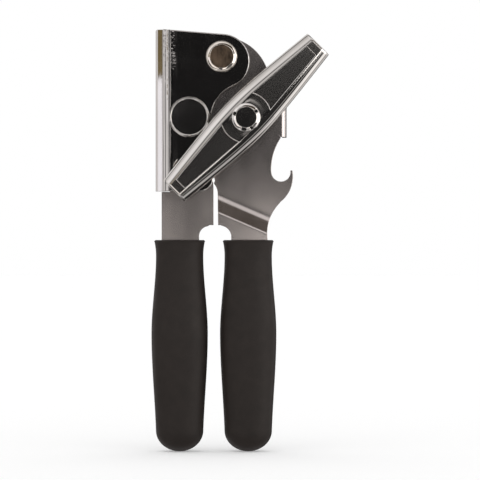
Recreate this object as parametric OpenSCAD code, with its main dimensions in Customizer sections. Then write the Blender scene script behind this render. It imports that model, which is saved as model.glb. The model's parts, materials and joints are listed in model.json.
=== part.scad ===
// Manual can opener, standing upright on the ends of its two grips, with the crank towards -Y.
// X runs to the right, +Z up, and +Y towards the cutting wheel. Depths are counted from the front
// face of the cover, towards the back.

/* [Overall] */
// Height of the top of the cover above the ends of the grips
tool_h = 190.2; // [180:0.1:200]
// Y of the front face of the cover
face_y = -2.1; // [-4:0.1:0]

/* [Axles] */
// Handle pivot, X and Z
pivot_at = [-8.3, 177.8]; // [-200:0.1:200]
// Axle of the cutting wheel, X and Z
cutter_at = [-22.9, 150.6]; // [-200:0.1:200]
// Axle of the crank and the feed wheel, X and Z
crank_at = [2.7, 150.0]; // [-200:0.1:200]
// Radius of the shaft that the crank turns
shaft_r = 4; // [3:0.1:5]
// Radius of the stud that the cutting wheel turns on
stud_r = 4.5; // [3:0.1:5.5]
// Running clearance on a radius
running_gap = 0.05; // [0.03:0.01:0.1]

/* [Sheet metal] */
// Thickness of the cover
cover_t = 1.2; // [0.8:0.1:1.6]
// Thickness of both handle plates
plate_t = 2; // [1.5:0.1:2.5]
// Depth of the lip behind the cover's front face
lip_depth = 4.5; // [4:0.1:6]
// Height of the lower edge of the cover
cover_z = 117.1; // [110:0.1:125]
// Depth that the flange of the right handle plate reaches
flange_depth = 13.5; // [10:0.1:14.5]
// Slope of the joggle in the right handle plate
joggle_angle = 18; // [10:1:30]

/* [Grips] */
// Height of the upper end of both grips
grip_h = 95.2; // [80:0.1:110]
// Width of a grip at its widest
grip_w = 25.4; // [20:0.1:26]
// Thickness of a grip at its widest
grip_d = 19; // [15:0.1:22]
// X of the middle of the left grip
left_grip_x = -27.2; // [-30:0.1:-26]
// X of the middle of the right grip
right_grip_x = 3.7; // [2:0.1:6]

/* [Crank] */
// Length of the crank from end to end
crank_l = 92.2; // [70:0.1:100]
// Width of the crank at the hub
crank_w = 21.4; // [18:0.1:24]
// Width of the crank at its ends
crank_end_w = 13.4; // [10:0.1:18]
// Angle of the crank above the horizontal
crank_angle = 45.5; // [0:0.5:180]
// Depth of the crank's front face, in front of the cover
crank_depth = -9; // [-12:0.1:-8]

/* [Gears and wheels] */
// Teeth on each gear
gear_teeth = 13; // [9:1:20]
// Pressure angle of the teeth
pressure_angle = 25; // [20:1:27]
// Radius of the cutting wheel
cutting_r = 14.4; // [13.5:0.1:15]
// Radius of the feed wheel over its teeth
feed_r = 12.1; // [11:0.1:12.5]
// Teeth on the feed wheel
feed_teeth = 44; // [20:1:60]

/* [Hidden] */
$fn = 72;
tiny = 0.02;
overshoot = 1;
seat_gap = 0.02;
plate_gap = 0.1;

// The stack of sheets and wheels, front to back.
strip_y = cover_t;
plate_y = strip_y + plate_t + plate_gap;
washer_y = plate_y + plate_t + plate_gap;
gear_y = 6;
wheel_y = 9;
feed_back_y = 11.5;
cutting_y = 11.8;
cutting_back_y = 13;
tail_y = 14.4;

// Cover outline.
cover_left = -34.9;
lip_left = -38.1;
cover_right = -12;
cover_bend_r = 3.15;
cover_corner_r = 5.9;
cover_ear_at = [-8, 175.7];
cover_ear_r = 12.3;
cover_top_angle = 85;
bay_r = norm(cover_ear_at - crank_at) - cover_ear_r;

// Handle plates.
strip_left = -35.3;
strip_inner_left = -31.6;
neck_z = 101.9;
tang_z = 38;
tang_half_w = 7;
flange_x = 21.1;
flange_bend_r = 2.5;
flange_inner_x = 15.5;
flange_seam_x = 17.2;
flange_z = [141.7, 158.5];
hook_notch_at = [18.5, 125.9];
hook_notch_r = 4.3;
joggle_turn = 66.4;
joggle_upper_w = 99.2;
joggle_upper_r = 11.6;
joggle_lower_r = 2.9;

// Pivot and axles.
pivot_shank_r = 3;
pivot_recess_r = 5;
stud_tail_r = 3;
bushing_r = 6;
retainer_r = 6.5;

// Grips.
grip_rings = 30;
grip_sides = 32;
grip_end_r = 9;
grip_foot_w = 21;
grip_neck_w = 21.3;
grip_lip_w = 23;
grip_belly_z = 53;
grip_neck_z = 88;
grip_power = 2.4;
tang_gap = 0.1;

// Crank.
crank_t = 1.2;
crank_skirt = 4.5;
crank_shoulder_r = 3;
crank_half_l = crank_l / 2;
crank_half_w = crank_w / 2;
crank_drop = (crank_w - crank_end_w) / 2;
crank_side_r = (crank_half_l * crank_half_l + crank_drop * crank_drop) / (2 * crank_drop);
panel_depth = 0.5;
panel_hub_r = 11.3;
panel_inner_half_w = 5.5;
panel_outer_half_w = 2.8;
panel_end = 41.7;
crank_boss_r = 7.9;
crank_boss_h = 0.4;

// Gear teeth, as involutes on the base circle.
pitch_r = norm(crank_at - cutter_at) / 2;
base_r = pitch_r * cos(pressure_angle);
gear_r = pitch_r + 1.2;
root_r = pitch_r - 1.55;
tooth_backlash = 0.4;
flank_steps = 5;
mesh_angle = atan2(cutter_at[1] - crank_at[1], cutter_at[0] - crank_at[0]);

function arc(centre, r, from, to, steps = 10) =
    [for (i = [0:steps]) let (a = from + (to - from) * i / steps) centre + r * [cos(a), sin(a)]];

function smooth(t) = t * t * (3 - 2 * t);

function involute(r) = let (a = acos(base_r / r)) tan(a) * 180 / PI - a;

function tooth_half_angle(r) =
    90 / gear_teeth - tooth_backlash + involute(pitch_r) - involute(max(r, base_r));

// Width of a grip: a rounded foot, a belly, a neck and a flared lip.
function grip_body_w(z) =
    z < grip_belly_z ? grip_foot_w + (grip_w - grip_foot_w) * smooth(z / grip_belly_z)
    : z < grip_neck_z
        ? grip_w + (grip_neck_w - grip_w) * smooth((z - grip_belly_z) / (grip_neck_z - grip_belly_z))
    : grip_neck_w + (grip_lip_w - grip_neck_w) * pow((z - grip_neck_z) / (grip_h - grip_neck_z), 2);

function grip_round(z) =
    z >= grip_end_r ? 1 : sqrt(max(0.004, 1 - pow((grip_end_r - z) / grip_end_r, 2)));

// Heights of the rings, closer together at both ends.
function grip_ring_z(i) = grip_h * (1 - cos(180 * i / grip_rings)) / 2;

function superellipse(half_w, half_d, a) =
    [half_w * sign(cos(a)) * pow(abs(cos(a)), 2 / grip_power),
     half_d * sign(sin(a)) * pow(abs(sin(a)), 2 / grip_power)];

// A sheet outline drawn in X and Z, between two depths.
module slab(from, to) {
    translate([0, face_y + to, 0])
        rotate([90, 0, 0])
            linear_extrude(height = to - from)
                children();
}

// A profile drawn in X and Y, between two heights, with Y counted from the cover's front face.
module upright(from, to) {
    translate([0, face_y, from])
        linear_extrude(height = to - from)
            children();
}

module disc(at, r, from, to, r_back = 0) {
    translate([at[0], face_y + from, at[1]])
        rotate([-90, 0, 0])
            cylinder(h = to - from, r1 = r, r2 = r_back > 0 ? r_back : r);
}

module ring(at, r, bore, from, to) {
    difference() {
        disc(at, r, from, to);
        disc(at, bore, from - overshoot, to + overshoot);
    }
}

// The L of a sheet that is bent back along its left (side -1) or right (side 1) edge.
module bent_edge(x, bend_r, t, from, depth, inwards, side) {
    corner = [x - side * bend_r, from + bend_r];
    intersection() {
        difference() {
            translate(corner)
                circle(bend_r);
            translate(corner)
                circle(bend_r - t);
        }
        translate([side > 0 ? corner[0] : corner[0] - 2 * bend_r, corner[1] - 2 * bend_r])
            square(2 * bend_r);
    }
    translate([side > 0 ? x - t : x, corner[1]])
        square([t, depth - corner[1]]);
    translate([side > 0 ? inwards : corner[0], from])
        square([abs(inwards - corner[0]), t]);
}

module cover_outline() {
    top_tangent = cover_ear_at + cover_ear_r * [cos(cover_top_angle), sin(cover_top_angle)];
    difference() {
        union() {
            translate(cover_ear_at)
                circle(cover_ear_r);
            polygon(concat(
                [[lip_left, cover_z]],
                arc([cover_right - cover_corner_r, cover_z + cover_corner_r], cover_corner_r, 270, 360),
                [[cover_right, crank_at[1]]],
                [crank_at + bay_r * (cover_ear_at - crank_at) / norm(cover_ear_at - crank_at)],
                [cover_ear_at],
                [top_tangent],
                [[cover_left, tool_h]],
                [[lip_left + 0.6, tool_h]],
                [[lip_left, tool_h - 0.6]]
            ));
        }
        translate(crank_at)
            circle(bay_r);
    }
}

module cover_plate() {
    color([0.62, 0.6, 0.58])
    difference() {
        intersection() {
            slab(-overshoot, lip_depth + overshoot)
                cover_outline();
            upright(cover_z - overshoot, tool_h + overshoot)
                union() {
                    bent_edge(cover_left, cover_bend_r, cover_t, 0, lip_depth, 20, -1);
                    translate([lip_left, lip_depth - cover_t])
                        square([cover_left - lip_left + tiny, cover_t]);
                }
        }
        disc(pivot_at, stud_r + seat_gap, -overshoot, cover_t + overshoot);
        disc(cutter_at, stud_r + seat_gap, -overshoot, cover_t + overshoot);
    }
}

module left_handle_strip() {
    ear_r = 9;
    color([0.5, 0.48, 0.46])
    difference() {
        slab(strip_y, strip_y + plate_t)
            difference() {
                union() {
                    translate(pivot_at)
                        circle(ear_r);
                    polygon([
                        [left_grip_x - tang_half_w, tang_z],
                        [left_grip_x + tang_half_w, tang_z],
                        [left_grip_x + tang_half_w, grip_h - 12],
                        [-18.4, grip_h - 6],
                        [-18.4, 96.9],
                        [-13.9, neck_z],
                        [-11.95, neck_z],
                        [-11.95, cover_z + 2],
                        [-13.5, crank_at[1] - 8],
                        [-13.5, crank_at[1] + 6],
                        [pivot_at[0] + 1.5, pivot_at[1] - ear_r + 0.4],
                        [pivot_at[0], pivot_at[1] + ear_r],
                        [-29, pivot_at[1] + ear_r],
                        [strip_inner_left, pivot_at[1] + ear_r - 2.6],
                        [strip_inner_left, cover_z - 0.2],
                        [strip_left, cover_z - 0.2],
                        [strip_left, grip_h - 6],
                        [left_grip_x - tang_half_w, grip_h - 12],
                    ]);
                }
                translate([-13.9, 96.9])
                    circle(4.55);
            }
        disc(pivot_at, stud_r + seat_gap, 0, 2 * plate_y);
        disc(cutter_at, stud_r + seat_gap, 0, 2 * plate_y);
    }
}

// Both grips: a loft of superellipses over the tang, with a pocket for it.
module grip_shape(x) {
    points = [for (i = [0:grip_rings], j = [0:grip_sides - 1])
        let (z = grip_ring_z(i), half_w = grip_body_w(z) / 2 * grip_round(z),
             p = superellipse(half_w, half_w * grip_d / grip_w, 360 * j / grip_sides))
        [x + p[0], p[1], z]];
    walls = [for (i = [0:grip_rings - 1], j = [0:grip_sides - 1])
        let (k = (j + 1) % grip_sides, a = i * grip_sides, b = a + grip_sides)
        [a + j, b + j, b + k, a + k]];
    foot = [[for (j = [0:grip_sides - 1]) j]];
    top = [[for (j = [0:grip_sides - 1]) grip_rings * grip_sides + grip_sides - 1 - j]];
    polyhedron(points, concat(foot, top, walls));
}

module tang_pocket(x) {
    mouth_half_w = 8.6;
    slab(strip_y - tang_gap, strip_y + plate_t + tang_gap)
        polygon([
            [x - tang_half_w - tang_gap, tang_z - tang_gap],
            [x + tang_half_w + tang_gap, tang_z - tang_gap],
            [x + tang_half_w + tang_gap, grip_h - 12.2],
            [x + mouth_half_w + 0.3, grip_h - 6.2],
            [x + mouth_half_w + 0.3, grip_h + overshoot],
            [x - mouth_half_w - 0.3, grip_h + overshoot],
            [x - mouth_half_w - 0.3, grip_h - 6.2],
            [x - tang_half_w - tang_gap, grip_h - 12.2],
        ]);
}

module left_grip() {
    color([0.2, 0.18, 0.17])
    difference() {
        grip_shape(left_grip_x);
        tang_pocket(left_grip_x);
    }
}

module right_grip() {
    color([0.2, 0.18, 0.17])
    difference() {
        grip_shape(right_grip_x);
        tang_pocket(right_grip_x);
    }
}

module pivot_bushing() {
    color([0.8, 0.78, 0.75])
    difference() {
        union() {
            disc(pivot_at, 6.5, -1.1, -0.6, 7);
            disc(pivot_at, 7, -0.6, 0);
            disc(pivot_at, stud_r, -tiny, washer_y);
        }
        disc(pivot_at, pivot_recess_r, -2, -0.6);
        disc(pivot_at, pivot_shank_r, -2, 2 * gear_y);
    }
}

module pivot_rivet() {
    tail_from = washer_y + 1.8;
    color([0.42, 0.35, 0.28])
    union() {
        disc(pivot_at, pivot_recess_r - running_gap, -0.9, -0.6);
        disc(pivot_at, pivot_shank_r - running_gap, -0.7, tail_from + tiny);
        disc(pivot_at, 5.5, tail_from, tail_from + 1.2, 4);
    }
}

module pivot_spring_washer() {
    color([0.45, 0.44, 0.43])
    ring(pivot_at, 8, pivot_shank_r + 2 * running_gap, washer_y, washer_y + 0.7);
}

module pivot_back_washer() {
    color([0.6, 0.58, 0.55])
    ring(pivot_at, 9, pivot_shank_r + running_gap, washer_y + 0.75, washer_y + 1.75);
}

// The stud's head covers the seat in the cover; its tail is peened over the retainer.
module cutter_stud() {
    head_r = 9.1;
    face_r = 7.9;
    color([0.7, 0.68, 0.66])
    difference() {
        union() {
            disc(cutter_at, face_r + 0.6, -1.2, -0.6, head_r);
            disc(cutter_at, head_r, -0.6, 0);
            disc(cutter_at, stud_r, -tiny, cutting_back_y + 0.2);
            disc(cutter_at, stud_tail_r, cutting_back_y, tail_y);
        }
        disc(cutter_at, face_r, -2, -1);
    }
}

module cutter_spacer() {
    color([0.55, 0.54, 0.52])
    ring(cutter_at, 7.5, stud_r + seat_gap, strip_y + plate_t, gear_y - plate_gap);
}

module gear_outline() {
    points = [for (i = [0:gear_teeth - 1])
        let (middle = 360 * i / gear_teeth)
        each concat(
            [root_r * [cos(middle - tooth_half_angle(base_r)), sin(middle - tooth_half_angle(base_r))]],
            [for (k = [0:flank_steps])
                let (r = base_r + (gear_r - base_r) * k / flank_steps, a = middle - tooth_half_angle(r))
                r * [cos(a), sin(a)]],
            [for (k = [flank_steps:-1:0])
                let (r = base_r + (gear_r - base_r) * k / flank_steps, a = middle + tooth_half_angle(r))
                r * [cos(a), sin(a)]],
            [root_r * [cos(middle + tooth_half_angle(base_r)), sin(middle + tooth_half_angle(base_r))]]
        )];
    polygon(points);
}

module gear(at, turn, bore) {
    difference() {
        slab(gear_y, wheel_y)
            translate(at)
                rotate(turn)
                    gear_outline();
        disc(at, bore, gear_y - overshoot, wheel_y + overshoot);
    }
}

module cutter_gear() {
    color([0.5, 0.49, 0.47])
    gear(cutter_at, mesh_angle + 180 + 180 / gear_teeth, stud_r + running_gap);
}

module feed_gear() {
    color([0.5, 0.49, 0.47])
    gear(crank_at, mesh_angle, shaft_r + seat_gap);
}

module cutter_hub() {
    color([0.55, 0.54, 0.52])
    ring(cutter_at, 7, stud_r + running_gap, wheel_y, cutting_y);
}

// A disc with its edge ground from the back.
module cutting_wheel() {
    color([0.75, 0.74, 0.72])
    difference() {
        union() {
            disc(cutter_at, cutting_r, cutting_y, cutting_y + 0.2);
            disc(cutter_at, cutting_r, cutting_y + 0.2, cutting_back_y, cutting_r - 1.6);
        }
        disc(cutter_at, stud_r + running_gap, cutting_y - overshoot, cutting_back_y + overshoot);
    }
}

module cutter_retainer() {
    color([0.6, 0.58, 0.55])
    ring(cutter_at, retainer_r, stud_tail_r + seat_gap, cutting_back_y + 0.22, tail_y);
}

// Section across the joggle: a flat, a wide bend, a slope, a tight bend and a flat nearer the front.
module joggle_profile() {
    head_y = plate_y + plate_t / 2;
    grip_y = strip_y + plate_t / 2;
    along = -[cos(joggle_angle), sin(joggle_angle)];
    across = [-sin(joggle_angle), cos(joggle_angle)];
    bends = joggle_upper_r + joggle_lower_r;
    slope_l = (head_y - grip_y - bends * (1 - cos(joggle_angle))) / sin(joggle_angle);
    upper = [joggle_upper_w + joggle_upper_r * sin(joggle_angle), head_y - joggle_upper_r];
    lower = upper + bends * across + slope_l * along;
    bend_a = 90 + joggle_angle;
    polygon(concat(
        [[250, plate_y]],
        arc(upper, joggle_upper_r - plate_t / 2, 90, bend_a, 5),
        arc(lower, joggle_lower_r + plate_t / 2, bend_a + 180, 270, 5),
        [[0, strip_y]],
        [[0, strip_y + plate_t]],
        arc(lower, joggle_lower_r - plate_t / 2, 270, bend_a + 180, 5),
        arc(upper, joggle_upper_r + plate_t / 2, bend_a, 90, 5),
        [[250, plate_y + plate_t]]
    ));
}

module right_plate_outline() {
    x = right_grip_x;
    ear_r = 9;
    polygon(concat(
        [[x - tang_half_w, tang_z], [x + tang_half_w, tang_z], [x + tang_half_w, grip_h - 12]],
        [[x + 8.6, grip_h - 6]],
        arc([31.9, 98.1], 19.6, 188, 135),
        arc([9.35, 123.9], 14.6, -53, 8),
        arc([23.2, 126.1], 0.6, 10, 150, 4),
        arc(hook_notch_at, hook_notch_r, 0, -176, 14),
        arc([41.1, 126.7], 27, 180.5, 147),
        [[flange_seam_x, flange_z[0] + 1.3]],
        [[flange_seam_x, flange_z[1] - 1.5]],
        arc([25.8, 171.5], 13, 233, 196, 6),
        arc([-8.3, 165.2], 21.8, 12, 85, 14),
        arc(pivot_at, ear_r, 90, 190),
        [[-14.3, 161], [-14.3, 139], [-11.4, 121.8]],
        arc([-17.1, 116.1], 7, 42, 0, 5),
        [[-9.9, neck_z], [-8.6, neck_z]],
        arc([-9.2, 96.4], 5.3, 80, 10, 8),
        [[x - 7.6, grip_h - 6]],
        [[x - tang_half_w, grip_h - 12]]
    ));
}

module right_handle_plate() {
    color([0.55, 0.53, 0.51])
    difference() {
        union() {
            intersection() {
                slab(-overshoot, gear_y + overshoot)
                    right_plate_outline();
                translate([0, face_y, 0])
                    rotate([0, -joggle_turn, 0])
                        translate([0, 0, -90])
                            linear_extrude(height = 180)
                                joggle_profile();
            }
            upright(flange_z[0], flange_z[1])
                bent_edge(flange_x, flange_bend_r, plate_t - 2 * tiny, plate_y + tiny, flange_depth,
                    flange_inner_x, 1);
        }
        disc(pivot_at, stud_r + 2 * running_gap, 0, gear_y + plate_t);
        disc(crank_at, bushing_r + seat_gap, 0, gear_y + plate_t);
    }
}

module crank_bushing() {
    color([0.6, 0.58, 0.56])
    difference() {
        union() {
            disc(crank_at, 7.5, plate_y - 0.8, plate_y);
            disc(crank_at, bushing_r, plate_y - tiny, gear_y - plate_gap);
        }
        disc(crank_at, shaft_r + running_gap, 0, gear_y + overshoot);
    }
}

// Sheet section of one half of the crank: flat, shoulder and skirt, at their radius from the
// centre of the crank's curved side.
module crank_section() {
    edge = crank_side_r;
    corner = [edge - crank_shoulder_r, crank_shoulder_r];
    intersection() {
        difference() {
            translate(corner)
                circle(crank_shoulder_r);
            translate(corner)
                circle(crank_shoulder_r - crank_t);
        }
        translate([corner[0], corner[1] - 2 * crank_shoulder_r])
            square(2 * crank_shoulder_r);
    }
    translate([edge - crank_half_w - overshoot, 0])
        square([crank_half_w + overshoot - crank_shoulder_r, crank_t]);
    translate([edge - crank_t, crank_shoulder_r])
        square([crank_t, crank_skirt - crank_shoulder_r]);
}

module crank_half() {
    intersection() {
        translate([0, crank_half_w - crank_side_r, 0])
            mirror([0, 0, 1])
                rotate_extrude($fn = 480)
                    crank_section();
        translate([-crank_half_l, 0, -crank_skirt - overshoot])
            cube([crank_l, crank_half_w + overshoot, crank_skirt + 2 * overshoot]);
    }
}

module crank_panel(margin) {
    start = sqrt(pow(panel_hub_r - margin, 2) - pow(panel_inner_half_w, 2));
    for (side = [0, 180])
        rotate(side)
            difference() {
                polygon([
                    [start - margin, -panel_inner_half_w - margin],
                    [panel_end + margin, -panel_outer_half_w - margin],
                    [panel_end + margin, panel_outer_half_w + margin],
                    [start - margin, panel_inner_half_w + margin],
                ]);
                circle(panel_hub_r - margin);
            }
}

// Drawn flat with its front face up, then turned upright.
module crank() {
    color([0.72, 0.7, 0.67])
    translate([crank_at[0], face_y + crank_depth, crank_at[1]])
        rotate([0, -crank_angle, 0])
            rotate([90, 0, 0])
                difference() {
                    union() {
                        crank_half();
                        mirror([0, 1, 0])
                            crank_half();
                        translate([0, 0, -tiny])
                            cylinder(h = crank_boss_h + tiny, r = crank_boss_r);
                        translate([0, 0, -crank_t - panel_depth])
                            linear_extrude(height = panel_depth + tiny)
                                crank_panel(0.8);
                    }
                    translate([0, 0, -panel_depth])
                        linear_extrude(height = overshoot)
                            crank_panel(0);
                    translate([0, 0, -crank_skirt])
                        cylinder(h = 2 * crank_skirt, r = shaft_r + seat_gap);
                }
}

module crank_shaft() {
    head_y = crank_depth - crank_boss_h;
    color([0.66, 0.64, 0.6])
    difference() {
        union() {
            disc(crank_at, 5.9, head_y - 0.8, head_y - 0.4, 6.4);
            disc(crank_at, 6.4, head_y - 0.4, head_y);
            disc(crank_at, shaft_r, head_y - tiny, 13);
            disc(crank_at, shaft_r, 13, 13.8, 3);
        }
        disc(crank_at, 4.75, head_y - 2, head_y - 0.3);
    }
}

module crank_collar() {
    color([0.45, 0.44, 0.43])
    ring(crank_at, 6.5, shaft_r + seat_gap, crank_depth + crank_t + seat_gap, 1.9);
}

module crank_thrust_washer() {
    color([0.6, 0.58, 0.56])
    ring(crank_at, 8, shaft_r + seat_gap, 1.9 + seat_gap, plate_y - 0.9);
}

// A disc with a ring of fine pointed teeth.
module feed_wheel() {
    tooth_h = 0.8;
    color([0.45, 0.44, 0.42])
    difference() {
        slab(wheel_y, feed_back_y)
            translate(crank_at)
                polygon([for (i = [0:2 * feed_teeth - 1])
                    (feed_r - (i % 2) * tooth_h) * [cos(180 * i / feed_teeth), sin(180 * i / feed_teeth)]]);
        disc(crank_at, shaft_r + seat_gap, wheel_y - overshoot, feed_back_y + overshoot);
    }
}

module feed_retainer() {
    color([0.6, 0.58, 0.55])
    ring(crank_at, retainer_r, shaft_r + seat_gap, feed_back_y + seat_gap, 13);
}

cover_plate();
left_handle_strip();
left_grip();
pivot_bushing();
pivot_rivet();
pivot_spring_washer();
pivot_back_washer();
cutter_stud();
cutter_spacer();
cutter_gear();
cutter_hub();
cutting_wheel();
cutter_retainer();
right_handle_plate();
right_grip();
crank_bushing();
crank();
crank_shaft();
crank_collar();
crank_thrust_washer();
feed_gear();
feed_wheel();
feed_retainer();
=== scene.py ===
"""A manual can opener standing in a plain studio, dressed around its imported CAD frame."""

import json
import math
from contextlib import contextmanager

import bmesh
import bpy
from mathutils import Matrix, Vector


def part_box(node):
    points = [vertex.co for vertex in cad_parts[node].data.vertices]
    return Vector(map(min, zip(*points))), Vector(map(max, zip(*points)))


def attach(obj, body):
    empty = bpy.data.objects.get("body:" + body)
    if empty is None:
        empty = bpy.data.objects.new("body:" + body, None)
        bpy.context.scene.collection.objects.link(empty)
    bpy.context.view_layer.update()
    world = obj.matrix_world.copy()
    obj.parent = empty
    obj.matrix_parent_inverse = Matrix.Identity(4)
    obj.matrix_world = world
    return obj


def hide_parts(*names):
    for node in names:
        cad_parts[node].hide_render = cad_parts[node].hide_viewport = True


MM = 0.001

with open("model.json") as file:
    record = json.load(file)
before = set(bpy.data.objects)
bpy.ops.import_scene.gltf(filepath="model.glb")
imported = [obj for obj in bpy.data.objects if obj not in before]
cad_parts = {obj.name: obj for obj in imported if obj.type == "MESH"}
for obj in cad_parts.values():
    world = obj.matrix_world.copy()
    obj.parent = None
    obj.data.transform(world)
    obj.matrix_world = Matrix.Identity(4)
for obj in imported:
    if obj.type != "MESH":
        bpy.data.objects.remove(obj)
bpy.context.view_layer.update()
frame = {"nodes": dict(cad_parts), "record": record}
NODES = frame["nodes"]
BODY_OF = {n: body for body, nodes in frame["record"]["behaviour"]["bodies"].items() for n in nodes}
SLOT_OF = {part["node"]: part["material_slot"] for part in frame["record"]["subparts"]}


def middle(node):
    low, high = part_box(node)
    return (low + high) / 2


# The pressed cover from its left edge: the lip as far as the seam, a flat band, then the bend.
COVER_LOW_X, COVER_FRONT_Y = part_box("cover_plate")[0].xy
LIP_W = 3.2 * MM
BAND_W = 3.15 * MM
SEAM_X = COVER_LOW_X + LIP_W
BEND_X = SEAM_X + BAND_W

CRANK_ANGLE = math.radians(45.5)
CRANK_ALONG = Vector((math.cos(CRANK_ANGLE), 0, math.sin(CRANK_ANGLE)))
CRANK_ACROSS = Vector((-math.sin(CRANK_ANGLE), 0, math.cos(CRANK_ANGLE)))
CRANK_HUB = middle("crank_shaft")


# ---------------------------------------------------------------- materials


class Shader:
    """A Principled material with short calls for the procedural nodes in front of it."""

    def __init__(self, name, color, metallic, roughness, **sockets):
        self.slot = name
        self.material = bpy.data.materials.new(name)
        self.material.use_nodes = True
        self.tree = self.material.node_tree
        self.bsdf = self.tree.nodes["Principled BSDF"]
        self.set("Base Color", (*color, 1))
        self.set("Metallic", metallic)
        self.set("Roughness", roughness)
        for socket, value in sockets.items():
            self.set(socket.replace("_", " "), value)
        self.coordinates = self.node("ShaderNodeTexCoord").outputs["Object"]
        self.height = None

    def node(self, kind, **values):
        made = self.tree.nodes.new(kind)
        for key, value in values.items():
            setattr(made, key, value)
        return made

    def set(self, socket, value):
        self.bsdf.inputs[socket].default_value = value

    def link(self, source, target):
        self.tree.links.new(source, target)

    def mapped(self, scale, turn=(0, 0, 0)):
        mapping = self.node("ShaderNodeMapping")
        mapping.inputs["Scale"].default_value = scale
        mapping.inputs["Rotation"].default_value = turn
        self.link(self.coordinates, mapping.inputs["Vector"])
        return mapping.outputs["Vector"]

    def noise(self, size_mm, detail=2.0, stretch=(1, 1, 1), turn=(0, 0, 0)):
        """Noise whose features are size_mm across, longer along an axis by its stretch."""
        made = self.node("ShaderNodeTexNoise")
        made.inputs["Scale"].default_value = 1.0
        made.inputs["Detail"].default_value = detail
        scale = [1 / (size_mm * MM * s) for s in stretch]
        self.link(self.mapped(scale, turn), made.inputs["Vector"])
        return made.outputs["Fac"]

    def ranged(self, source, low, high, start=0.3, stop=0.7):
        """Maps a texture onto values from low to high."""
        made = self.node("ShaderNodeMapRange")
        made.inputs["From Min"].default_value = start
        made.inputs["From Max"].default_value = stop
        made.inputs["To Min"].default_value = low
        made.inputs["To Max"].default_value = high
        self.link(source, made.inputs["Value"])
        return made.outputs["Result"]

    def near(self, direction, full, none, through=(0, 0, 0), both=False):
        """1 falling to 0 between two distances, in metres, along a direction from a point; both counts
        the distance on either side of it."""
        dot = self.node("ShaderNodeVectorMath", operation="DOT_PRODUCT")
        dot.inputs[1].default_value = direction
        self.link(self.coordinates, dot.inputs[0])
        away = self.node("ShaderNodeMath", operation="SUBTRACT")
        self.link(dot.outputs["Value"], away.inputs[0])
        away.inputs[1].default_value = Vector(direction).dot(Vector(through))
        if both:
            size = self.node("ShaderNodeMath", operation="ABSOLUTE")
            self.link(away.outputs["Value"], size.inputs[0])
            away = size
        return self.ranged(away.outputs["Value"], 1, 0, full, none)

    def times(self, first, second):
        made = self.node("ShaderNodeMath", operation="MULTIPLY")
        self.link(first, made.inputs[0])
        self.link(second, made.inputs[1])
        return made.outputs["Value"]

    def rings(self, axis, size_mm):
        """Noise that depends only on the distance from an axis along Y."""
        moved = self.node("ShaderNodeVectorMath", operation="SUBTRACT")
        self.link(self.coordinates, moved.inputs[0])
        moved.inputs[1].default_value = axis
        flat = self.node("ShaderNodeVectorMath", operation="MULTIPLY")
        self.link(moved.outputs["Vector"], flat.inputs[0])
        flat.inputs[1].default_value = (1, 0, 1)
        size = self.node("ShaderNodeVectorMath", operation="LENGTH")
        self.link(flat.outputs["Vector"], size.inputs[0])
        made = self.node("ShaderNodeTexNoise", noise_dimensions="1D")
        made.inputs["Scale"].default_value = 1 / (size_mm * MM)
        made.inputs["Detail"].default_value = 1
        self.link(size.outputs["Value"], made.inputs["W"])
        return made.outputs["Fac"]

    def vary_roughness(self, source, low, high, **span):
        self.link(self.ranged(source, low, high, **span), self.bsdf.inputs["Roughness"])

    def vary_color(self, source, first, second):
        mix = self.node("ShaderNodeMix", data_type="RGBA")
        mix.inputs["A"].default_value = (*first, 1)
        mix.inputs["B"].default_value = (*second, 1)
        self.link(self.ranged(source, 0, 1), mix.inputs["Factor"])
        self.link(mix.outputs["Result"], self.bsdf.inputs["Base Color"])

    def bump(self, source, depth_mm, strength=1.0):
        """Stacks a height texture on the ones before it."""
        made = self.node("ShaderNodeBump")
        made.inputs["Strength"].default_value = strength
        made.inputs["Distance"].default_value = depth_mm * MM
        self.link(source, made.inputs["Height"])
        if self.height is not None:
            self.link(self.height, made.inputs["Normal"])
        self.height = made.outputs["Normal"]
        self.link(self.height, self.bsdf.inputs["Normal"])


def mirror_chrome(name, color, ripple_mm=0.012, rough=(0.05, 0.11)):
    """Plated sheet: a mirror with slow ripples from pressing, faint smudges and fine scratches."""
    s = Shader(name, color, 1.0, rough[0])
    s.vary_roughness(s.noise(9, detail=4), *rough)
    s.vary_color(s.noise(14, detail=3), color, [c * 0.93 for c in color])
    s.bump(s.noise(13, detail=1), ripple_mm)
    s.bump(s.noise(0.25, detail=2, stretch=(1, 1, 14)), 0.0006)
    return s


def pressed_chrome(name, color):
    """Mirror chrome with the dimpled skin that the press leaves beside the bend, worst at its top."""
    s = mirror_chrome(name, color, ripple_mm=0.05, rough=(0.03, 0.06))
    rough_half_w, clear_half_w = 1.6 * MM, 3.6 * MM
    rough_above, clear_below = 174 * MM, 154 * MM
    beside_bend = s.near((1, 0, 0), rough_half_w, clear_half_w, through=(BEND_X, 0, 0), both=True)
    top = s.near((0, 0, -1), -rough_above, -clear_below)
    s.bump(s.times(s.noise(1.3, detail=2), s.times(beside_bend, top)), 0.11)
    s.bump(s.times(s.noise(9, detail=1, stretch=(1, 1, 2)), beside_bend), 0.5)
    return s


def key_chrome(name, color):
    """The crank's chrome: clear on its rolled sides, duller and finely pitted on the flat between them."""
    s = mirror_chrome(name, color, ripple_mm=0.02)
    flat_half_w, roll_half_w = 4.2 * MM, 5.8 * MM
    flat = s.near(CRANK_ACROSS, flat_half_w, roll_half_w, through=CRANK_HUB, both=True)
    s.vary_roughness(flat, 0.05, 0.115, start=0, stop=1)
    s.bump(s.times(s.noise(0.5, detail=2), flat), 0.0028)
    return s


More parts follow.
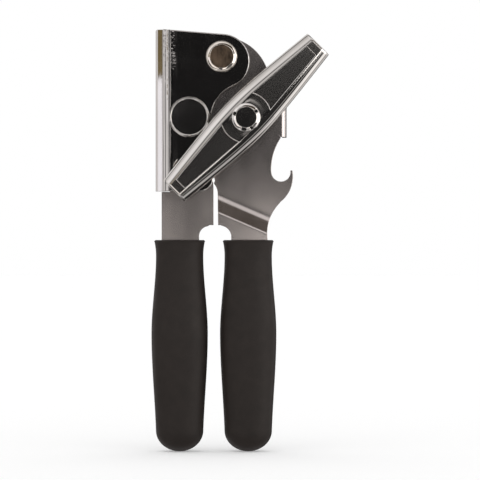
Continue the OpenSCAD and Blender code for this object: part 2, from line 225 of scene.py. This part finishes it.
def brushed_steel(name, light, dark, rough=(0.3, 0.42), turn=0.0, patch_mm=15, grain_mm=0.4, deep_mm=0.0012):
    """Rolled plate with patchy polish, slow waves and a long grain, which turn leans away from Z."""
    s = Shader(name, light, 1.0, rough[0], Anisotropic=0.55)
    grain = s.noise(grain_mm, detail=3, stretch=(1, 1, 60), turn=(0, turn, 0))
    s.vary_roughness(s.noise(9, detail=4, stretch=(1, 1, 2)), *rough)
    s.vary_color(s.noise(patch_mm, detail=4, stretch=(1, 1, 2)), light, dark)
    s.bump(s.noise(38, detail=0), 0.4)
    s.bump(grain, deep_mm)
    return s


def turned_steel(name, light, dark, rough, axis):
    """Turned steel with a light grain, a few duller patches and tool rings round the piece's own axis."""
    s = Shader(name, light, 1.0, rough[0])
    s.vary_roughness(s.noise(5, detail=3), *rough)
    s.vary_color(s.noise(6, detail=3), light, dark)
    s.bump(s.noise(0.35, detail=2), 0.0008)
    s.bump(s.rings(axis, 0.35), 0.003)
    return s


def soft_rubber(name):
    """Matt moulded grip: fine sandblasted texture, slow waviness and dust-dulled patches."""
    s = Shader(name, (0.020, 0.0150, 0.0125), 0.0, 0.55, Specular_IOR_Level=0.2)
    s.vary_roughness(s.noise(8, detail=5), 0.48, 0.62)
    s.vary_color(s.noise(5, detail=6), (0.0185, 0.0138, 0.0115), (0.0225, 0.0168, 0.014))
    s.bump(s.noise(0.32, detail=3), 0.02, strength=0.7)
    s.bump(s.noise(7, detail=2), 0.03)
    return s


# Each material goes to a record slot, or to the one node whose name it has.
SHADERS = (
    pressed_chrome("chromed_sheet", (0.66, 0.64, 0.62)),
    key_chrome("crank_chrome", (0.72, 0.70, 0.67)),
    mirror_chrome("bright_head", (0.80, 0.78, 0.75), 0.002),
    mirror_chrome("pivot_bushing", (0.80, 0.75, 0.68), 0.002),
    brushed_steel("brushed_plate", (0.50, 0.465, 0.45), (0.45, 0.42, 0.405), rough=(0.17, 0.21)),
    brushed_steel(
        "pivot_disc", (0.25, 0.18, 0.125), (0.035, 0.028, 0.022), turn=0.7, patch_mm=3.5, grain_mm=0.25,
        deep_mm=0.006,
    ),
    soft_rubber("grip_rubber"),
)
# The turned parts share three steels, as light and dark colours and a roughness range. Each node has its
# own material, because its tool rings run round its own axis.
STEELS = {
    "plain_steel": ((0.52, 0.50, 0.48), (0.46, 0.44, 0.42), (0.2, 0.3)),
    "gear_steel": ((0.42, 0.405, 0.385), (0.35, 0.335, 0.32), (0.28, 0.4)),
    "wheel_steel": ((0.60, 0.585, 0.565), (0.54, 0.525, 0.505), (0.16, 0.26)),
}
MATERIALS = {s.slot: s.material for s in SHADERS}
for node, slot in SLOT_OF.items():
    if slot in STEELS:
        light, dark, rough = STEELS[slot]
        MATERIALS[node] = turned_steel(node + "_steel", light, dark, rough, middle(node)).material


# ---------------------------------------------------------------- pieces


def show(name, node, mesh):
    """Puts a finished mesh in the scene in place of a CAD node."""
    piece = bpy.data.objects.new(name, mesh)
    bpy.context.scene.collection.objects.link(piece)
    mesh.materials.clear()
    mesh.materials.append(MATERIALS.get(node) or MATERIALS[SLOT_OF[node]])
    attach(piece, BODY_OF[node])
    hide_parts(node)
    return piece


# Angles between faces, in degrees: above the first an edge is rounded, below the second it is dissolved.
HARD_ANGLE = 32
FLAT_ANGLE = 0.6
WELD = 0.025 * MM
SAME_PLACE = 0.0005 * MM
BACK_SHARE = 0.3


@contextmanager
def editing(mesh):
    """The mesh as an editable one that is written back at the end."""
    made = bmesh.new()
    made.from_mesh(mesh)
    yield made
    made.to_mesh(mesh)
    made.free()


def shade(piece, angle=30):
    """Smooth shading that breaks at edges sharper than angle, in degrees."""
    mesh = piece.data
    mesh.polygons.foreach_set("use_smooth", [True] * len(mesh.polygons))
    mesh.set_sharp_from_angle(angle=math.radians(angle))


def soften(piece, width_mm, segments=3, angle=HARD_ANGLE, limit="ANGLE"):
    """Rounds a piece's hard edges and keeps its flats flat."""
    bevel = piece.modifiers.new("edge_round", "BEVEL")
    bevel.width = width_mm * MM
    bevel.segments = segments
    bevel.limit_method = limit
    bevel.angle_limit = math.radians(angle)
    bevel.use_clamp_overlap = limit == "ANGLE"
    bevel.harden_normals = True


def cut_across(made, xs):
    """Adds a line of vertices where the shape crosses each X, so that it can be bent there."""
    for x in xs:
        everything = made.verts[:] + made.edges[:] + made.faces[:]
        bmesh.ops.bisect_plane(made, geom=everything, plane_co=(x, 0, 0), plane_no=(1, 0, 0))


def weigh_edges(made, front):
    """Lets the hard edges in front of a depth take the whole rounding and the others a share of it."""
    weight = made.edges.layers.float.new("bevel_weight_edge")
    for edge in made.edges:
        if edge.calc_face_angle(0) > math.radians(HARD_ANGLE):
            edge[weight] = 1.0 if max(v.co.y for v in edge.verts) < front else BACK_SHARE


def dressed(node, edge_mm, segments=3, cuts=(), bend=None, front=None):
    """A CAD node's shape, welded, with its flats as single faces and its edges rounded.
    It is cut across at each X in cuts, and bend gives the small extra depth at an X. Where front is given,
    only the edges in front of that depth are rounded fully."""
    made = bmesh.new()
    made.from_mesh(NODES[node].data)
    bmesh.ops.remove_doubles(made, verts=made.verts, dist=WELD)
    bmesh.ops.dissolve_limit(made, angle_limit=math.radians(FLAT_ANGLE), verts=made.verts, edges=made.edges)
    cut_across(made, cuts)
    if front is not None:
        weigh_edges(made, front)
    if bend:
        for vert in made.verts:
            vert.co.y += bend(vert.co.x)
    mesh = bpy.data.meshes.new(node + "_shape")
    made.to_mesh(mesh)
    made.free()
    piece = show(node + "_piece", node, mesh)
    shade(piece)
    soften(piece, edge_mm, segments, limit="ANGLE" if front is None else "WEIGHT")


def smooth_step(low, high, x):
    t = min(1.0, max(0.0, (x - low) / (high - low)))
    return t * t * (3 - 2 * t)


def between(a, b, count):
    """count + 1 evenly spaced values from a to b."""
    return [a + (b - a) * i / count for i in range(count + 1)]


def grid_mesh(name, rows, closed=False):
    """A mesh over rows of points; closed joins the ends of every row."""
    count = len(rows[0])
    points = [p for row in rows for p in row]
    faces = []
    for i in range(len(rows) - 1):
        for j in range(count if closed else count - 1):
            k = (j + 1) % count
            faces.append((i * count + j, i * count + k, (i + 1) * count + k, (i + 1) * count + j))
    mesh = bpy.data.meshes.new(name)
    mesh.from_pydata(points, [], faces)
    return mesh


def turned(node, profile, segments=180, stakes=(), stake_y=0.0):
    """A round piece about its node's own axis. The profile runs from the axis or an inner radius out
    and round, as (radius, depth) in millimetres, with depth counted from the node's front. Each stake
    mark, an angle and a half width in degrees, is pressed flat to the depth stake_y."""
    axis, front = middle(node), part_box(node)[0].y
    rows = []
    for i in range(segments):
        turn = 360 * i / segments
        a = math.radians(turn)
        marked = any(abs((turn - at + 180) % 360 - 180) < half for at, half in stakes)
        floor_y = stake_y if marked else 0.0
        rows.append([
            (axis.x + r * MM * math.cos(a), front + max(y, floor_y) * MM, axis.z + r * MM * math.sin(a))
            for r, y in profile
        ])
    rows.append(rows[0])
    mesh = grid_mesh(node + "_shape", rows)
    with editing(mesh) as made:
        bmesh.ops.remove_doubles(made, verts=made.verts, dist=SAME_PLACE)
        bmesh.ops.recalc_face_normals(made, faces=made.faces)
    shade(show(node + "_piece", node, mesh), 40)


def rounded(points, radius, steps=4):
    """The same profile with each corner between its two ends rounded by a short curve."""
    result = [points[0]]
    for before, corner, after in zip(points, points[1:], points[2:]):
        b, c, a = Vector(before), Vector(corner), Vector(after)
        near = c + (b - c).normalized() * min(radius, (b - c).length * 0.49)
        far = c + (a - c).normalized() * min(radius, (a - c).length * 0.49)
        for t in between(0, 1, steps):
            point = near.lerp(c, t).lerp(c.lerp(far, t), t)
            result.append((point.x, point.y))
    result.append(points[-1])
    return result


# ---------------------------------------------------------------- grips

# Sizes in millimetres. The widest place is the belly, and its width comes from the frame.
FOOT_W = 21.0
FOOT_R = 9.0
BELLY_Z = 53.0
NECK_W = 21.3
NECK_Z = 88.0
GRIP_LIP_W = 23.0
GRIP_LIP_Z = 95.2
GRIP_LIP_R = 0.9
FLARE_H = 7.5
RUBBER_POWER = 2.4
GRIP_SIDES = 128
DISH = 0.6
DISH_RINGS = ((1.6, 0.0), (2.4, 0.12), (2.9, DISH), (3.6, DISH), (6.0, DISH))


def grip_width(z, widest):
    """Width in millimetres at a height in millimetres: foot, belly, neck and flared lip."""
    if z < BELLY_Z:
        return FOOT_W + (widest - FOOT_W) * smooth_step(0, BELLY_Z, z)
    if z < NECK_Z:
        return widest + (NECK_W - widest) * smooth_step(BELLY_Z, NECK_Z, z)
    return NECK_W + (GRIP_LIP_W - NECK_W) * ((z - NECK_Z) / (GRIP_LIP_Z - NECK_Z)) ** 2


def grip_rings(top, widest):
    """Heights and half widths of a grip's rings: round foot, body, rounded lip and dished top."""
    stations = [FOOT_R * (1 - math.cos(math.radians(a))) for a in between(4, 90, 22)]
    stations += between(FOOT_R, top - FLARE_H, 70)[1:]
    stations += between(top - FLARE_H, top - GRIP_LIP_R, 26)[1:]
    rings = []
    for z in stations:
        drop = max(0.0, (FOOT_R - z) / FOOT_R)
        rings.append((z, grip_width(z, widest) / 2 * math.sqrt(1 - drop * drop)))
    lip = grip_width(top, widest) / 2
    for a in between(0, 90, 8)[1:]:
        t = math.radians(a)
        rings.append((top - GRIP_LIP_R * (1 - math.sin(t)), lip - GRIP_LIP_R * (1 - math.cos(t))))
    return rings + [(top - down, lip - inset) for inset, down in DISH_RINGS]


def grip(node):
    """A moulded grip of superellipses, closed at its foot and in the dish round its handle plate."""
    low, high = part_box(node)
    x, flatness = (low.x + high.x) / 2, (high.y - low.y) / (high.x - low.x)
    e = 2 / RUBBER_POWER
    rows = []
    for z, half in grip_rings(high.z / MM, (high.x - low.x) / MM):
        row = []
        for j in range(GRIP_SIDES):
            a = 2 * math.pi * j / GRIP_SIDES
            c, s = math.cos(a), math.sin(a)
            row.append((
                x + half * MM * math.copysign(abs(c) ** e, c),
                half * MM * flatness * math.copysign(abs(s) ** e, s),
                z * MM,
            ))
        rows.append(row)
    mesh = grid_mesh(node + "_shape", rows, closed=True)
    with editing(mesh) as made:
        made.verts.ensure_lookup_table()
        made.faces.new(made.verts[:GRIP_SIDES])
        made.faces.new(made.verts[-GRIP_SIDES:])
        bmesh.ops.recalc_face_normals(made, faces=made.faces)
    shade(show(node + "_piece", node, mesh), 50)


grip("left_grip")
grip("right_grip")


# ---------------------------------------------------------------- crank

# Sizes in millimetres. p runs along the crank and q across it, both from the hub.
CRANK_HALF_L = 46.08
CRANK_HALF_W = 10.7
CRANK_TAPER = 0.12
APEX_R = 1.83
CRANK_T = 1.2
CRANK_RISE = 0.4
SHOULDER_START = 20.0
SHOULDER_H = 3.0
SKIRT = 4.5
PANEL_HUB_R = 11.3
PANEL_HUB_W = 5.5
PANEL_HUB_END = 9.2
PANEL_END_W = 2.8
PANEL_END = 41.7
PANEL_DEPTH = 0.14
PANEL_EDGE = 0.11
RIM_W = 0.2
BOSS_R = 7.9
BOSS_H = 0.06
BOSS_BLEND = 1.2
BOSS_SIDE_W = 1.6
END_CURL = 1.1
END_DROP = 0.45
# The stations along an arm are closest between the first two, where the panel's round end is, and within
# the last on either side of the panel's straight end.
ROUND_END_START = 7.4
ROUND_END_STOP = 11.6
STRAIGHT_END_REACH = 0.4


def crank_half_width(p):
    return CRANK_HALF_W + APEX_R - math.hypot(CRANK_TAPER * p, APEX_R)


def panel_half_width(p):
    narrowing = (PANEL_END_W - PANEL_HUB_W) / (PANEL_END - PANEL_HUB_END)
    return PANEL_HUB_W + narrowing * (abs(p) - PANEL_HUB_END)


def crank_height(p, q):
    """Height of the crank's top at a place: boss up, panels and ends down."""
    along, r = abs(p), math.hypot(p, q)
    inside = min(panel_half_width(p) - abs(q), PANEL_END - along, r - PANEL_HUB_R)
    sunk = smooth_step(-PANEL_EDGE, PANEL_EDGE, inside)
    raised = 1 - smooth_step(BOSS_R - BOSS_BLEND, BOSS_R + BOSS_BLEND, r)
    raised *= 1 - smooth_step(PANEL_HUB_W - BOSS_SIDE_W, PANEL_HUB_W + RIM_W, abs(q))
    curl = max(0.0, (along - CRANK_HALF_L + END_CURL) / END_CURL)
    return BOSS_H * raised - PANEL_DEPTH * sunk - END_DROP * curl ** 2


def crank_stations():
    """Places along one arm, close together where the panel begins and ends and at the curled end."""
    stops = (
        (ROUND_END_START, 30),
        (ROUND_END_STOP, 60),
        (PANEL_END - STRAIGHT_END_REACH, 70),
        (PANEL_END + STRAIGHT_END_REACH, 12),
        (CRANK_HALF_L, 24),
    )
    stations = [0.0]
    for stop, count in stops:
        stations += between(stations[-1], stop, count)[1:]
    return stations


def crank_section(p):
    """Half of the crank's section at p, as places across and heights, from the middle to the skirt.
    The rolled side starts at once beside the panel, already a little steep, and ends upright."""
    half = crank_half_width(p)
    panel = min(panel_half_width(p), PANEL_HUB_W)
    flat = panel + RIM_W
    side = between(0, panel - RIM_W, 40) + between(panel - RIM_W, flat, 8)[1:]
    section = [(q, crank_height(p, q)) for q in side]
    first = math.radians(SHOULDER_START)
    for a in between(SHOULDER_START, 90, 30)[1:]:
        t = math.radians(a)
        q = flat + (half - flat) * (math.sin(t) - math.sin(first)) / (1 - math.sin(first))
        fall = SHOULDER_H * (math.cos(first) - math.cos(t)) / math.cos(first)
        section.append((q, crank_height(p, q) - fall))
    return section + [(half, -h) for h in between(SHOULDER_H, SKIRT, 3)[1:]]


def crank():
    """The stamped key: one sheet with sunk panels, a raised boss and rolled sides, given its thickness."""
    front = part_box("crank")[0].y + CRANK_RISE * MM
    along, across = CRANK_ALONG * MM, CRANK_ACROSS * MM
    stations = crank_stations()
    rows = []
    for p in [-p for p in reversed(stations[1:])] + stations:
        half = crank_section(p)
        rows.append([
            Vector((CRANK_HUB.x, front - h * MM, CRANK_HUB.z)) + along * p + across * q
            for q, h in [(-q, h) for q, h in reversed(half[1:])] + half
        ])
    mesh = grid_mesh("crank_shape", rows)
    with editing(mesh) as made:
        bmesh.ops.recalc_face_normals(made, faces=made.faces)
        if sum(face.normal.y for face in made.faces) > 0:
            bmesh.ops.reverse_faces(made, faces=made.faces)
    piece = show("crank_key", "crank", mesh)
    shade(piece, 55)
    sheet = piece.modifiers.new("sheet", "SOLIDIFY")
    sheet.thickness = CRANK_T * MM
    sheet.offset = -1
    soften(piece, 0.18, 2, angle=65)


crank()


# ---------------------------------------------------------------- heads and cutting wheel

CROWN_LAST = 66


def crown(inner, outer, depth, first):
    """Profile of a rounded ring from its inner to its outer radius, where it is steepest and depth deep.
    It has the curve of a circle from the angle first, in degrees."""
    def share(way, a):
        start, end = way(math.radians(first)), way(math.radians(CROWN_LAST))
        return (way(math.radians(a)) - start) / (end - start)

    return [
        (inner + (outer - inner) * share(math.sin, a), depth * share(math.cos, a))
        for a in between(first, CROWN_LAST, 8)
    ]


# Profiles in millimetres, from the front of each node. A flat face has one more ring just inside its edge,
# which keeps its shading flat.
BUSHING_TOP = [(3.0, 6.5), (3.0, 0.85), (5.2, 0.85), (5.2, 0.1)] + crown(5.3, 7.0, 0.9, first=13)
BUSHING_BACK = [(7.0, 1.1), (4.5, 1.1), (4.5, 6.5), (3.0, 6.5)]
RIVET_DISC = [(0.0, 0.25), (4.7, 0.25), (4.95, 0.25), (5.08, 0.4), (5.08, 0.6)]
RIVET_TAIL = [(2.95, 0.6), (2.95, 8.1), (5.5, 8.1), (5.3, 8.6), (4.0, 9.25), (3.4, 9.3), (0.0, 9.3)]
STUD_HEAD = [(0.0, 0.35), (7.8, 0.35), (8.1, 0.35), (8.2, 0.05), (8.35, 0.0), (8.95, 0.55), (9.1, 1.2)]
STUD_TAIL = [(4.5, 1.2), (4.5, 14.4), (3.0, 14.4), (3.0, 15.2), (2.6, 15.6), (2.3, 15.6), (0.0, 15.6)]
SHAFT_HEAD = [(0.0, 0.55), (4.4, 0.55), (4.68, 0.55), (4.75, 0.1)] + crown(4.8, 6.4, 0.8, first=26)
SHAFT_TAIL = [(6.4, 0.9), (4.0, 0.9), (4.0, 23.2), (3.0, 24.0), (2.7, 24.0), (0.0, 24.0)]
WHEEL_EDGE = [(14.4, 0.0), (14.4, 0.15), (12.8, 1.2)]
WHEEL_BORE = [(12.4, 1.2), (4.55, 1.2)]

turned("pivot_bushing", rounded(BUSHING_TOP + BUSHING_BACK, 0.1))
turned("pivot_rivet", rounded(RIVET_DISC + RIVET_TAIL, 0.12))
turned("cutter_stud", rounded(STUD_HEAD + STUD_TAIL, 0.1))
turned(
    "crank_shaft", rounded(SHAFT_HEAD + SHAFT_TAIL, 0.06),
    stakes=((31, 8), (162, 9), (260, 13), (298, 9)), stake_y=0.52,
)
turned("cutting_wheel", rounded([(4.55, 1.2), (4.55, 0.0)] + WHEEL_EDGE + WHEEL_BORE, 0.04), segments=360)


# ---------------------------------------------------------------- plates, washers and gears

ROLL_W = 3.0 * MM
ROLL_DEPTH = 0.12 * MM
LIP_LEAN = 0.09
LIP_ROUND = 0.16


def cover_roll(x):
    """The pressed cover falls away a little before its bend, and its lip is rounded and leans back."""
    if x >= BEND_X:
        return ROLL_DEPTH * max(0.0, 1 - (x - BEND_X) / ROLL_W) ** 2
    across = max(0.0, (SEAM_X - x) / LIP_W)
    return ROLL_DEPTH + LIP_W * (LIP_LEAN * across + LIP_ROUND * across ** 2)


STRIP_LOW_X, STRIP_HIGH_X = (corner.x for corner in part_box("left_handle_strip"))
STRIP_SAG = 0.04 * MM


def strip_sag(x):
    """The left strip is very slightly bowed to the front across its width."""
    return STRIP_SAG * (((2 * x - STRIP_LOW_X - STRIP_HIGH_X) / (STRIP_HIGH_X - STRIP_LOW_X)) ** 2 - 1)


# The cover is rounded fully only round its front face, and the right plate round the fronts of both its
# steps.
COVER_FACE_T = 0.2 * MM
PLATE_STEP = 2.5 * MM

dressed(
    "cover_plate", 0.5, segments=5,
    cuts=between(BEND_X, BEND_X + ROLL_W, 10) + between(COVER_LOW_X, SEAM_X, 9)[1:-1],
    bend=cover_roll,
    front=COVER_FRONT_Y + COVER_FACE_T,
)
dressed("left_handle_strip", 0.25, cuts=between(STRIP_LOW_X, STRIP_HIGH_X, 14)[1:-1], bend=strip_sag)
dressed("right_handle_plate", 0.2, front=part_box("right_handle_plate")[0].y + PLATE_STEP)

for node, edge_mm in (
    ("pivot_spring_washer", 0.15),
    ("pivot_back_washer", 0.2),
    ("cutter_spacer", 0.2),
    ("cutter_gear", 0.12),
    ("cutter_hub", 0.2),
    ("cutter_retainer", 0.25),
    ("crank_bushing", 0.2),
    ("crank_collar", 0.3),
    ("crank_thrust_washer", 0.12),
    ("feed_gear", 0.12),
    ("feed_wheel", 0.08),
    ("feed_retainer", 0.25),
):
    dressed(node, edge_mm)


# ---------------------------------------------------------------- studio

# How bright the studio looks in a mirror, by how squarely the mirrored direction faces front or back.
UPPER_LEFT_BANDS = (
    (0.0, 0.1), (0.10, 0.16), (0.16, 0.95), (0.3, 0.7), (0.5, 0.95), (0.7, 0.98), (0.80, 0.85), (0.825, 0.2),
    (0.85, 0.2), (0.87, 0.8), (0.93, 0.75), (0.955, 0.05), (0.975, 0.013),
)
LOWER_RIGHT_BANDS = (
    (0.0, 0.75), (0.25, 0.6), (0.42, 1.4), (0.66, 1.5), (0.71, 0.04), (0.785, 0.04), (0.8, 0.6), (0.815, 0.6),
    (0.83, 0.03), (0.96, 0.03), (0.975, 0.013),
)
SPLIT_BLEND = 0.2

# Faint clutter varies that brightness between two levels, and its colour between two whites.
CLUTTER_SCALE = 2.2
CLUTTER_LEVELS = (1.5, 2.3)
CLUTTER_TINTS = ((1.0, 0.95, 0.90), (0.96, 0.95, 1.0))

# Darker parts of the studio: a direction, the cosines where it is darkest and where it ends, and how dark.
DARK_CORNERS = (
    ((-0.64, -0.64, -0.46), 0.985, 0.90, 0.10),
    ((0.66, 0.68, -0.30), 0.99, 0.90, 0.30),
    ((0.0, -0.30, -0.95), 0.97, 0.86, 0.25),
    ((0.506, -0.588, -0.631), 0.990, 0.965, 0.4),
    ((0.606, -0.242, -0.757), 0.990, 0.975, 0.06),
    ((0.625, 0.035, -0.78), 0.990, 0.975, 0.06),
)


def emitter(name, color, strength):
    material = bpy.data.materials.new(name)
    material.use_nodes = True
    tree = material.node_tree
    tree.nodes.clear()
    out = tree.nodes.new("ShaderNodeOutputMaterial")
    glow = tree.nodes.new("ShaderNodeEmission")
    glow.inputs["Color"].default_value = (*color, 1)
    glow.inputs["Strength"].default_value = strength
    tree.links.new(glow.outputs["Emission"], out.inputs["Surface"])
    return material


def card(name, centre, facing, width, height, color, strength):
    """A flat studio card that only reflections see."""
    mesh = bpy.data.meshes.new(name)
    w, h = width / 2, height / 2
    mesh.from_pydata([(-w, -h, 0), (w, -h, 0), (w, h, 0), (-w, h, 0)], [], [(0, 1, 2, 3)])
    made = bpy.data.objects.new(name, mesh)
    bpy.context.scene.collection.objects.link(made)
    made.location = centre
    made.rotation_mode = "QUATERNION"
    made.rotation_quaternion = Vector(facing).to_track_quat("Z", "Y")
    mesh.materials.append(emitter(name, color, strength))
    made.visible_camera = False
    made.visible_diffuse = False
    made.visible_shadow = False


def studio_world():
    """White to the eye. In reflections dark straight ahead and behind, with soft bands round that which
    differ between the upper left and the lower right, faint clutter all over and the dark corners."""
    world = bpy.data.worlds.new("studio")
    bpy.context.scene.world = world
    world.use_nodes = True
    tree = world.node_tree
    new, link = tree.nodes.new, tree.links.new

    def ranged(source, start, stop, low, high):
        made = new("ShaderNodeMapRange")
        made.interpolation_type = "SMOOTHSTEP"
        for socket, value in (("From Min", start), ("From Max", stop), ("To Min", low), ("To Max", high)):
            made.inputs[socket].default_value = value
        link(source, made.inputs["Value"])
        return made.outputs["Result"]

    def mixed(factor, first, second):
        made = new("ShaderNodeMix")
        made.data_type = "RGBA"
        link(factor, made.inputs["Factor"])
        for socket, value in (("A", first), ("B", second)):
            if isinstance(value, tuple):
                made.inputs[socket].default_value = (*value, 1)
            else:
                link(value, made.inputs[socket])
        return made.outputs["Result"]

    def vector_math(operation, first, second=None):
        made = new("ShaderNodeVectorMath")
        made.operation = operation
        link(first, made.inputs[0])
        if isinstance(second, Vector):
            made.inputs[1].default_value = second
        elif second is not None:
            link(second, made.inputs[1])
        return made

    def bands(source, stops):
        """A colour ramp can't go past 1, so it holds a half of every brightness."""
        made = new("ShaderNodeValToRGB")
        made.color_ramp.interpolation = "LINEAR"
        elements = made.color_ramp.elements
        while len(elements) < len(stops):
            elements.new(0.5)
        for element, (facing, brightness) in zip(elements, stops):
            element.position = facing
            element.color = (brightness / 2, brightness / 2, brightness / 2, 1)
        link(source, made.inputs["Fac"])
        return made.outputs["Color"]

    direction = new("ShaderNodeTexCoord").outputs["Generated"]
    split = new("ShaderNodeSeparateXYZ")
    link(direction, split.inputs["Vector"])
    facing = new("ShaderNodeMath")
    facing.operation = "ABSOLUTE"
    link(split.outputs["Y"], facing.inputs[0])
    rise = new("ShaderNodeMath")
    rise.operation = "SUBTRACT"
    link(split.outputs["Z"], rise.inputs[0])
    link(split.outputs["X"], rise.inputs[1])
    upper_left = ranged(rise.outputs[0], -SPLIT_BLEND, SPLIT_BLEND, 0, 1)
    around = mixed(
        upper_left, bands(facing.outputs[0], LOWER_RIGHT_BANDS), bands(facing.outputs[0], UPPER_LEFT_BANDS)
    )
    clutter = new("ShaderNodeTexNoise")
    clutter.inputs["Scale"].default_value = CLUTTER_SCALE
    clutter.inputs["Detail"].default_value = 1.5
    link(direction, clutter.inputs["Vector"])
    tint = mixed(clutter.outputs["Fac"], *CLUTTER_TINTS)
    lit = vector_math("MULTIPLY", around, tint)
    level = vector_math("SCALE", lit.outputs["Vector"])
    link(ranged(clutter.outputs["Fac"], 0.3, 0.7, *CLUTTER_LEVELS), level.inputs["Scale"])
    for corner, inner, outer, darkness in DARK_CORNERS:
        toward = vector_math("DOT_PRODUCT", direction, Vector(corner).normalized())
        shaded = vector_math("SCALE", level.outputs["Vector"])
        link(ranged(toward.outputs["Value"], outer, inner, 1, darkness), shaded.inputs["Scale"])
        level = shaded
    glossy = new("ShaderNodeLightPath").outputs["Is Glossy Ray"]
    seen = mixed(glossy, (1, 1, 1), level.outputs["Vector"])
    link(seen, tree.nodes["Background"].inputs["Color"])


def pale_floor(size):
    """A floor that glows a little, so that it is as white as the background, and isn't mirrored."""
    mesh = bpy.data.meshes.new("floor")
    corners = [(-size, -size, 0), (size, -size, 0), (size, size, 0), (-size, size, 0)]
    mesh.from_pydata(corners, [], [(0, 1, 2, 3)])
    floor = bpy.data.objects.new("floor", mesh)
    bpy.context.scene.collection.objects.link(floor)
    material = bpy.data.materials.new("floor")
    material.use_nodes = True
    shader = material.node_tree.nodes["Principled BSDF"]
    shader.inputs["Base Color"].default_value = (0.8, 0.8, 0.8, 1)
    shader.inputs["Emission Color"].default_value = (1, 1, 1, 1)
    shader.inputs["Emission Strength"].default_value = 0.21
    shader.inputs["Roughness"].default_value = 0.9
    shader.inputs["Specular IOR Level"].default_value = 0.1
    mesh.materials.append(material)
    floor.visible_glossy = False


def front_camera(away, height):
    """The photograph's view: level, straight from the front and far away."""
    data = bpy.data.cameras.new("camera")
    data.sensor_width = 36
    data.lens = 200
    camera = bpy.data.objects.new("camera", data)
    bpy.context.scene.collection.objects.link(camera)
    camera.location = (0, COVER_FRONT_Y - away, height)
    camera.rotation_euler = (math.radians(90), 0, 0)
    bpy.context.scene.camera = camera


studio_world()
pale_floor(6.0)

# A brown wall that the slope of the right plate mirrors.
card("brown_card", (0.145, -0.462, 0.483), (-0.145, 0.462, -0.385), 0.5, 0.24, (1.0, 0.72, 0.50), 0.065)

# Low lights that brighten the left strip and, more, the neck of the right plate towards the grips.
card("low_card", (-0.15, -0.35, 0.038), (0.15, 0.35, 0.06), 0.2, 0.162, (1.0, 0.95, 0.92), 1.15)
card("neck_card", (0.032, -0.35, 0.034), (-0.032, 0.35, 0.06), 0.056, 0.154, (1.0, 0.95, 0.92), 1.6)

# A light on the bend above the slope, fading at its lower edge, and a weak one on the flat above the bend.
card("high_card", (0.55, -3.0, 1.25), (-0.55, 3.0, -1.1), 1.7, 1.05, (1.0, 0.96, 0.95), 1.15)
card("fade_card", (0.45, -3.0, 0.63), (-0.45, 3.0, -0.45), 1.7, 0.24, (1.0, 0.96, 0.95), 0.5)
card("plate_card", (0.027, -0.35, 0.128), (-0.027, 0.35, -0.03), 0.044, 0.036, (1.0, 0.95, 0.93), 0.16)

# A dim yellow top and a light length for the cover's lip, and a bright wall for the side flange.
card("lip_card", (-0.218, -0.356, 0.222), (0.45, 0.89, 0), 0.13, 0.058, (1.0, 0.76, 0.38), 0.22)
card("lip_light", (-0.218, -0.356, 0.11), (0.45, 0.89, 0), 0.13, 0.162, (0.97, 0.95, 1.0), 1.3)
card("flange_card", (0.42, -0.45, 0.15), (-1, 0.3, 0), 0.75, 0.3, (1.0, 0.97, 0.95), 2.6)

front_camera(away=1.2, height=0.0952)
bpy.context.scene.view_settings.view_transform = "Standard"
